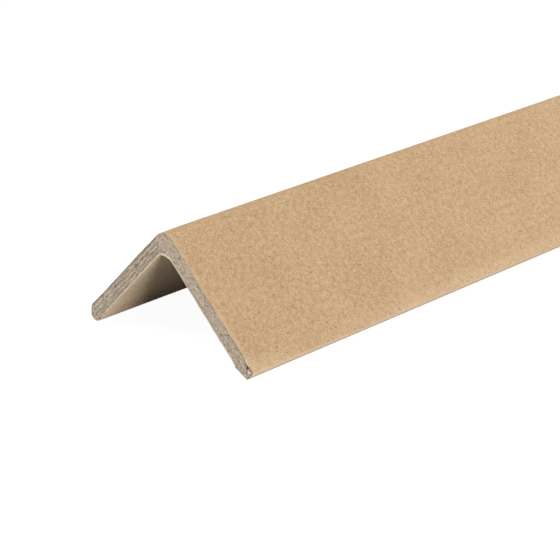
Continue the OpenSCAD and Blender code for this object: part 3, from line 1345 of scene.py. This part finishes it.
@dataclass
class PlyStack:
    """The stack of cardboard plies inside the papers, crushed and frayed where it was cut.

    A pair of tones is one for the right leg and one for the left leg, whose plies show more.
    """

    section: BoardSection
    name: str = "ply_stack"
    plies: int = 7
    samples_per_ply: int = 8
    step: float = 0.22 * MM
    bend_samples: int = 26
    clearance: float = 0.01 * MM
    side_rows: int = 5
    sharp_deg: float = 70.0
    wear_and_shade: WearAndShade = NEAR_WEAR_AND_SHADE
    # Relief: how far the cut lies back, how far every other ply stands proud of that, how deep the joints
    # and the pits are, and how rough the fibres are, with the share of the streaks and the long ones
    cut_back: float = 0.17 * MM
    proud: float = 0.06 * MM
    joint_depth: float = 0.09 * MM
    pit_depth: float = 0.06 * MM
    rough: float = 0.03 * MM
    long_share: float = 0.4
    # Widths of the open joints and of the pale ridges, across the plies
    joint_w: float = 0.08 * MM
    ridge_w: float = 0.12 * MM
    # Reaches over which the right leg's tones give way to the left one's, and over which the left leg pales
    left_from: tuple[float, float] = (-3.0 * MM, -8.0 * MM)
    left_tip_from: tuple[float, float] = (-15.0 * MM, -45.0 * MM)
    # Tone: that of plain board, and what each kind of mark adds to it or, for joints and pits, takes from it
    middle_tone: tuple[float, float] = (0.467, 0.36)
    left_tip_tone: float = 0.04
    streak_tone: tuple[float, float] = (0.05, 0.08)
    fibre_tone: tuple[float, float] = (0.07, 0.08)
    speckle_tone: tuple[float, float] = (0.16, 0.15)
    ridge_tone: tuple[float, float] = (0.06, 0.42)
    joint_tone: tuple[float, float] = (0.1, 0.2)
    pit_tone: tuple[float, float] = (0.2, 0.1)
    # Noise that places each kind of mark
    streak: Grain = Grain(1, 4.5 * MM, 0.26 * MM)
    fibre: Grain = Grain(2, 1.1 * MM, 0.2 * MM)
    speckle: Grain = Grain(3, 0.42 * MM, 0.36 * MM)
    dashes: Grain = Grain(4, 2.4 * MM)
    gaps: Grain = Grain(5, 2.2 * MM)
    pits: Grain = Grain(7, 0.6 * MM, 0.34 * MM)
    # The part of a noise, from where it starts to count to where it counts in full, that makes a mark
    dash_range: tuple[float, float] = (-0.1, 0.3)
    gap_range: tuple[float, float] = (0.1, 0.7)
    pit_range: tuple[float, float] = (0.4, 0.75)
    # How far apart on the plane of their noise the marks of neighbouring plies and joints are
    dash_rows: float = 7.3
    gap_rows: float = 3.9
    # How the plies wave, and how far
    waves: Grain = Grain(6, 3.4 * MM, 1.6 * MM)
    wave: float = 0.13 * MM
    layout: dict[CutEnd, tuple[MapBox, MapBox]] = field(default_factory=lambda: {
        CutEnd.NEAR: (MapBox(0.005, 0.01, 0.995, 0.26), MapBox(0.005, 0.27, 0.995, 0.52)),
        CutEnd.FAR: (MapBox(0.005, 0.53, 0.995, 0.72), MapBox(0.005, 0.73, 0.995, 0.92)),
    })
    side_layout: MapBox = MapBox(0.005, 0.93, 0.995, 0.99)

    def build(self) -> bpy.types.Object:
        """Builds and dresses the stack.

        Returns:
            The piece.
        """
        low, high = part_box(NODE)
        spots, reach, depth = self._grid()
        piece = QuadPiece(self.name)
        pattern = np.stack([reach, depth], axis=-1)
        middle = reach.shape[0] // 2
        ends = {}
        for end, place in ((CutEnd.NEAR, low[1]), (CutEnd.FAR, high[1])):
            back, tone = self._cut(reach, depth, end)
            ends[end] = piece.points(self.section.stand(spots, place - end.value * back), tone)
            for part, box in zip((slice(None, middle + 1), slice(middle, None)), self.layout[end]):
                piece.grid(ends[end][part], pattern[part], box.spread(reach[part], depth[part]))
        self._sides(piece, spots, ends, low[1], high[1])
        return piece.make([PLIES.material()], self.sharp_deg)

    def _inside_of_cover(self) -> tuple[np.ndarray, np.ndarray]:
        """The cover's glued side round each tip.

        Returns:
            Its points on the left leg, from the margin to the outer face, and those on the right leg,
            from the outer face to the margin; reach along the leg and depth in each row.
        """
        inside = self.section.wrap().points(self.section.cover_t + self.clearance)
        nose = int(np.argmin(inside.sum(axis=1)))
        left, right = inside[:nose], inside[nose:, ::-1]
        return left[left[:, 0] > self.section.left_leg / 2], right[right[:, 0] > self.section.right_leg / 2]

    def _grid(self) -> tuple[np.ndarray, np.ndarray, np.ndarray]:
        """Lays the points of a cut end along the plies, from the left tip round the fold to the right.

        Returns:
            The points of the section, the reach of each along its leg (below zero on the left leg), and
            its depth through the board.
        """
        form = self.section
        top, bottom = form.cover_t + self.clearance, form.board_t - form.cover_t - self.clearance
        layers = np.linspace(top, bottom, self.plies * self.samples_per_ply + 1)
        radius = np.interp(layers, [top, bottom], [form.nose_r - form.cover_t, form.fold_r + form.cover_t])
        left_tip, right_tip = self._inside_of_cover()
        left = np.interp(layers, left_tip[::-1, 1], left_tip[::-1, 0])
        right = np.interp(layers, right_tip[:, 1], right_tip[:, 0])
        bend = layers + radius
        left_shares = np.linspace(0.0, 1.0, round(form.left_leg / self.step))[:, None]
        right_shares = np.linspace(0.0, 1.0, round(form.right_leg / self.step))[:, None]
        turn = np.linspace(0.0, math.pi / 2, self.bend_samples + 1)[1:-1, None]
        left_x = left + (bend - left) * left_shares
        right_y = bend + (right - bend) * right_shares
        left_depth = self._filled(left_x, layers, left_tip[left_tip[:, 1] > form.board_t / 2],
                                  form.left_leg - form.left_tuck)
        right_depth = self._filled(right_y, layers, right_tip[right_tip[:, 1] > form.board_t / 2][::-1],
                                   form.right_leg - form.right_tuck)
        x = np.vstack([left_x, bend - radius * np.sin(turn), right_depth])
        y = np.vstack([left_depth, bend - radius * np.cos(turn), right_y])
        reach = np.vstack([-left_x, bend * (turn / (math.pi / 4) - 1.0), right_y])
        return np.stack([x, y], axis=-1), reach, np.broadcast_to(layers, reach.shape)

    def _filled(self, reach: np.ndarray, layers: np.ndarray, cover: np.ndarray,
                liner_edge: float) -> np.ndarray:
        """Swells the plies towards the cover's margin past the liner's edge, so that no gap is left there.

        Args:
            reach: reach of each point along its leg.
            layers: depth of each layer.
            cover: the margin's glued side, reach and depth in each row, with the reach growing.
            liner_edge: reach of the liner's edge.

        Returns:
            The depth of each point.
        """
        room = np.maximum(np.interp(reach, cover[:, 0], cover[:, 1]) / layers[-1], 1.0)
        past = smooth_step(liner_edge, liner_edge + self.step, reach)
        return layers * (1.0 + (room - 1.0) * past)

    def _cut(self, reach: np.ndarray, depth: np.ndarray, end: CutEnd) -> tuple[np.ndarray, np.ndarray]:
        """Works out the relief and the tone of a cut end.

        Args:
            reach: reach of each point along its leg, below zero on the left leg.
            depth: depth of each point through the board.
            end: the cut end.

        Returns:
            How far each point lies behind the end of the board, and its tone round 0.5.
        """
        top, bottom = depth.min(), depth.max()
        waved = depth + self.wave * self.waves.at(reach, depth, end)
        count = (waved - top) / (bottom - top) * self.plies
        ply = np.clip(np.floor(count), 0, self.plies - 1)
        ply_t = (bottom - top) / self.plies
        from_middle = np.abs(count - ply - 0.5) * ply_t
        proud = ply % 2
        on_left = smooth_step(*self.left_from, reach)

        def by_leg(pair: tuple[float, float]) -> np.ndarray:
            """A value that changes from one leg to the other."""
            return pair[0] + (pair[1] - pair[0]) * on_left

        streak = self.streak.at(reach, depth, end)
        fibre = self.fibre.at(reach, depth, end)
        speckle = self.speckle.at(reach, depth, end)
        dashes = smooth_step(*self.dash_range, self.dashes.at(reach, self.dash_rows * ply, end))
        gaps = smooth_step(*self.gap_range, self.gaps.at(reach, self.gap_rows * np.round(count), end))
        pits = smooth_step(*self.pit_range, self.pits.at(reach, depth, end))
        joint = gaps * bell(ply_t / 2 - from_middle, self.joint_w)
        ridge = dashes * proud * bell(from_middle, self.ridge_w)
        back = (self.cut_back - self.proud * proud + self.joint_depth * joint + self.pit_depth * pits
                + self.rough * (self.long_share * (streak + fibre) + speckle))
        marks = (
            (self.streak_tone, streak),
            (self.fibre_tone, fibre),
            (self.speckle_tone, speckle),
            (self.ridge_tone, ridge),
            (self.joint_tone, -joint),
            (self.pit_tone, -pits),
        )
        tone = by_leg(self.middle_tone) + self.left_tip_tone * smooth_step(*self.left_tip_from, reach)
        for pair, mark in marks:
            tone = tone + by_leg(pair) * mark
        # The near end's marks, with painted shade in their recesses
        if end is CutEnd.NEAR:
            back, tone = self.wear_and_shade.carve(reach, depth, back, tone)
        return np.maximum(back, 0.0), np.clip(tone, 0.0, 1.0)

    def _sides(self, piece: QuadPiece, spots: np.ndarray, ends: dict[CutEnd, np.ndarray], low: float,
               high: float) -> None:
        """Closes the stack between its two cut ends.

        Args:
            piece: the piece that the quads go to.
            spots: points of a cut end on the section.
            ends: numbers of the points of both cut ends.
            low: place of the near cut end.
            high: place of the far cut end.
        """
        def round_the_edge(grid: np.ndarray) -> np.ndarray:
            """The outermost points of a grid in order, with the first one again at the end."""
            return np.concatenate([grid[:, 0], grid[-1, 1:], grid[-2::-1, -1], grid[0, -2::-1]])

        edge = round_the_edge(spots)
        between = np.linspace(low, high, self.side_rows + 2)[1:-1]
        ring = edge[:-1, None, :].repeat(len(between), axis=1)
        rings = piece.points(self.section.stand(ring, between[None, :]), PLAIN)
        rings = np.vstack([rings, rings[:1]])
        near, far = round_the_edge(ends[CutEnd.NEAR]), round_the_edge(ends[CutEnd.FAR])
        numbers = np.concatenate([near[:, None], rings, far[:, None]], axis=1)
        along = np.concatenate([[low], between, [high]])
        grid_way, grid_y = np.broadcast_arrays(run_along(edge)[:, None], along[None, :])
        place = self.side_layout.spread(grid_y, grid_way)
        piece.grid(numbers, np.stack([grid_way, grid_y], axis=-1), place)


@dataclass
class TornFlap:
    """A torn sliver of the cover that has rolled up in the pocket at the near right tip."""

    section: BoardSection
    name: str = "torn_flap"
    at: tuple[float, float] = (49.17 * MM, 1.62 * MM)
    radii: tuple[float, float] = (0.66 * MM, 0.64 * MM)
    paper_t: float = 0.19 * MM
    turns: float = 2.3
    start: float = math.radians(-60)
    core: float = 0.3
    length: float = 1.9 * MM
    set_back: float = 0.01 * MM
    lean: float = 0.04 * MM
    samples: int = 56
    rows: int = 8
    tone: float = 0.85
    layout: SheetLayout = SheetLayout(
        (MapBox(0.01, 0.3, 0.48, 0.98),),
        MapBox(0.52, 0.3, 0.99, 0.98),
        (MapBox(0.01, 0.02, 0.48, 0.12), MapBox(0.52, 0.02, 0.99, 0.12),
         MapBox(0.01, 0.15, 0.48, 0.25), MapBox(0.52, 0.15, 0.99, 0.25)),
    )

    def build(self) -> bpy.types.Object:
        """Builds and dresses the flap.

        Returns:
            The piece.
        """
        low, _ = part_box(NODE)
        angle = self.start + np.linspace(0.0, 2 * math.pi * self.turns, self.samples)
        sides = [self._coil(angle, inset) for inset in (0.0, self.paper_t)]
        share = np.linspace(0.0, 1.0, self.rows)
        lean = self.lean * np.sin(angle)[:, None] * (1 - share)[None, :]
        y = low[1] + self.set_back + self.lean + self.length * share[None, :] + lean
        piece = QuadPiece(self.name)
        grids = [self.section.stand(side[:, None].repeat(self.rows, axis=1), y) for side in sides]
        shown, hidden = (piece.points(grid, self.tone) for grid in grids)
        way = run_along(sides[0])
        piece.sheet(shown, hidden, way, self.length * share, self.paper_t, self.layout, rim_finish=0)
        return piece.make([FLAP.material()])

    def _coil(self, angle: np.ndarray, inset: float) -> np.ndarray:
        """Points of the roll on the section.

        Args:
            angle: angle of each point round the roll.
            inset: how far the points lie inside the paper's outer side.

        Returns:
            The points, x and y in each row.
        """
        shrink = np.linspace(1.0, self.core, len(angle))
        reach = self.at[0] + (self.radii[0] * shrink - inset) * np.cos(angle)
        depth = self.at[1] + (self.radii[1] * shrink - inset) * np.sin(angle)
        return np.stack([depth, reach], axis=1)


@dataclass(frozen=True)
class Lamp:
    """A soft lamp: its place, the spot that it is turned to, its width and height, and its power in watts."""

    name: str
    place: tuple[float, float, float]
    aim: tuple[float, float, float]
    width: float
    height: float
    power: float

    def light(self) -> None:
        """Hangs the lamp."""
        data = bpy.data.lights.new(self.name, "AREA")
        data.shape = "RECTANGLE"
        data.size = self.width
        data.size_y = self.height
        data.energy = self.power
        lamp = bpy.data.objects.new(self.name, data)
        lamp.location = self.place
        lamp.rotation_euler = (Vector(self.aim) - Vector(self.place)).to_track_quat("-Z", "Y").to_euler()
        bpy.context.scene.collection.objects.link(lamp)


@dataclass(frozen=True)
class Studio:
    """A white studio: the floor, the soft light and the camera."""

    camera_place: tuple[float, float, float] = (0.41146, -0.53517, 0.24278)
    camera_aim: tuple[float, float, float] = (0.02643, -0.13061, 0.02350)
    camera_roll_deg: float = -0.08
    lens_mm: float = 134.19
    sensor_mm: float = 36.0
    floor_side: float = 8.0
    floor_bounce: Rgba = (0.40, 0.40, 0.40, 1.0)
    white: Rgba = (1.0, 1.0, 1.0, 1.0)
    # What the camera sees of the floor: a glow, and what the lamps add to it up to white
    floor_glow: float = 0.96
    floor_shown: Rgba = (0.075, 0.075, 0.075, 1.0)
    # Strength of the sky's light, and of the white that the camera sees
    sky_strength: float = 0.06
    sky_shown: float = 1.0
    lamps: tuple[Lamp, ...] = (
        Lamp("side", (1.10, -0.33, 0.13), (0.0, -0.15, 0.02), 0.4, 0.22, 11.2),
        Lamp("key", (0.01, 0.44, 0.50), (0.0, 0.0, 0.02), 0.4, 0.4, 3.3),
        Lamp("front", (-0.55, -0.70, 0.62), (0.0, -0.15, 0.02), 0.5, 0.5, 9.0),
    )

    def set_up(self) -> None:
        """Sets up the floor, the light and the camera."""
        bpy.context.scene.view_settings.view_transform = "Standard"
        self._lay_floor()
        self._light_sky()
        for lamp in self.lamps:
            lamp.light()
        self._place_camera()

    @staticmethod
    def _seen(bench: NodeBench) -> Socket:
        """Tells what the camera sees from light that spreads.

        Args:
            bench: the nodes of a material or world.

        Returns:
            1 for what the camera sees, straight or in a reflection, and 0 for light that spreads.
        """
        path = bench.node("ShaderNodeLightPath", {})
        mirrored = bench.math("MAXIMUM", path.outputs["Is Glossy Ray"], path.outputs["Is Transmission Ray"])
        return bench.math("MAXIMUM", path.outputs["Is Camera Ray"], mirrored)

    def _lay_floor(self) -> None:
        """Lays the floor, which looks white and keeps a faint shadow."""
        half = self.floor_side / 2
        mesh = bpy.data.meshes.new("floor")
        corners = [(-half, -half, 0.0), (half, -half, 0.0), (half, half, 0.0), (-half, half, 0.0)]
        mesh.from_pydata(corners, [], [(0, 1, 2, 3)])
        bench = NodeBench(bpy.data.materials.new("studio_floor"))
        plain = bench.node("ShaderNodeBsdfDiffuse", {"Color": self.floor_bounce}).outputs["BSDF"]
        shown = bench.node("ShaderNodeBsdfDiffuse", {"Color": self.floor_shown}).outputs["BSDF"]
        glow = bench.node("ShaderNodeEmission", {"Color": self.white, "Strength": self.floor_glow})
        white = bench.node("ShaderNodeAddShader", {0: shown, 1: glow.outputs["Emission"]}).outputs["Shader"]
        both = bench.node("ShaderNodeMixShader", {0: self._seen(bench), 1: plain, 2: white}).outputs["Shader"]
        bench.node("ShaderNodeOutputMaterial", {"Surface": both})
        mesh.materials.append(bench.owner)
        floor = bpy.data.objects.new("floor", mesh)
        bpy.context.scene.collection.objects.link(floor)

    def _light_sky(self) -> None:
        """Lights the whole studio evenly, and shows it white."""
        world = bpy.data.worlds.new("studio")
        bench = NodeBench(world)
        soft, white = (bench.node("ShaderNodeBackground", {"Color": self.white, "Strength": strength})
                       for strength in (self.sky_strength, self.sky_shown))
        both = bench.node("ShaderNodeMixShader", {
            0: self._seen(bench), 1: soft.outputs["Background"], 2: white.outputs["Background"],
        })
        bench.node("ShaderNodeOutputWorld", {"Surface": both.outputs["Shader"]})
        bpy.context.scene.world = world

    def _place_camera(self) -> None:
        """Places the camera at the photograph's viewpoint."""
        data = bpy.data.cameras.new("camera")
        data.lens = self.lens_mm
        data.sensor_width = self.sensor_mm
        camera = bpy.data.objects.new("camera", data)
        place = Vector(self.camera_place)
        level = (Vector(self.camera_aim) - place).to_track_quat("-Z", "Y").to_matrix().to_4x4()
        roll = Matrix.Rotation(math.radians(self.camera_roll_deg), 4, "Z")
        camera.matrix_world = Matrix.Translation(place) @ level @ roll
        bpy.context.scene.collection.objects.link(camera)
        bpy.context.scene.camera = camera


def main() -> None:
    """Builds the studio and every piece of the board."""
    logging.basicConfig(level=logging.INFO, format="%(message)s")
    section = BoardSection()
    Studio().set_up()
    for piece in (PlyStack(section), KraftCover(section), InnerLiner(section), TornFlap(section)):
        made = piece.build()
        log.info("%s: %d faces", made.name, len(made.data.polygons))


if __name__ == "__main__":
    main()
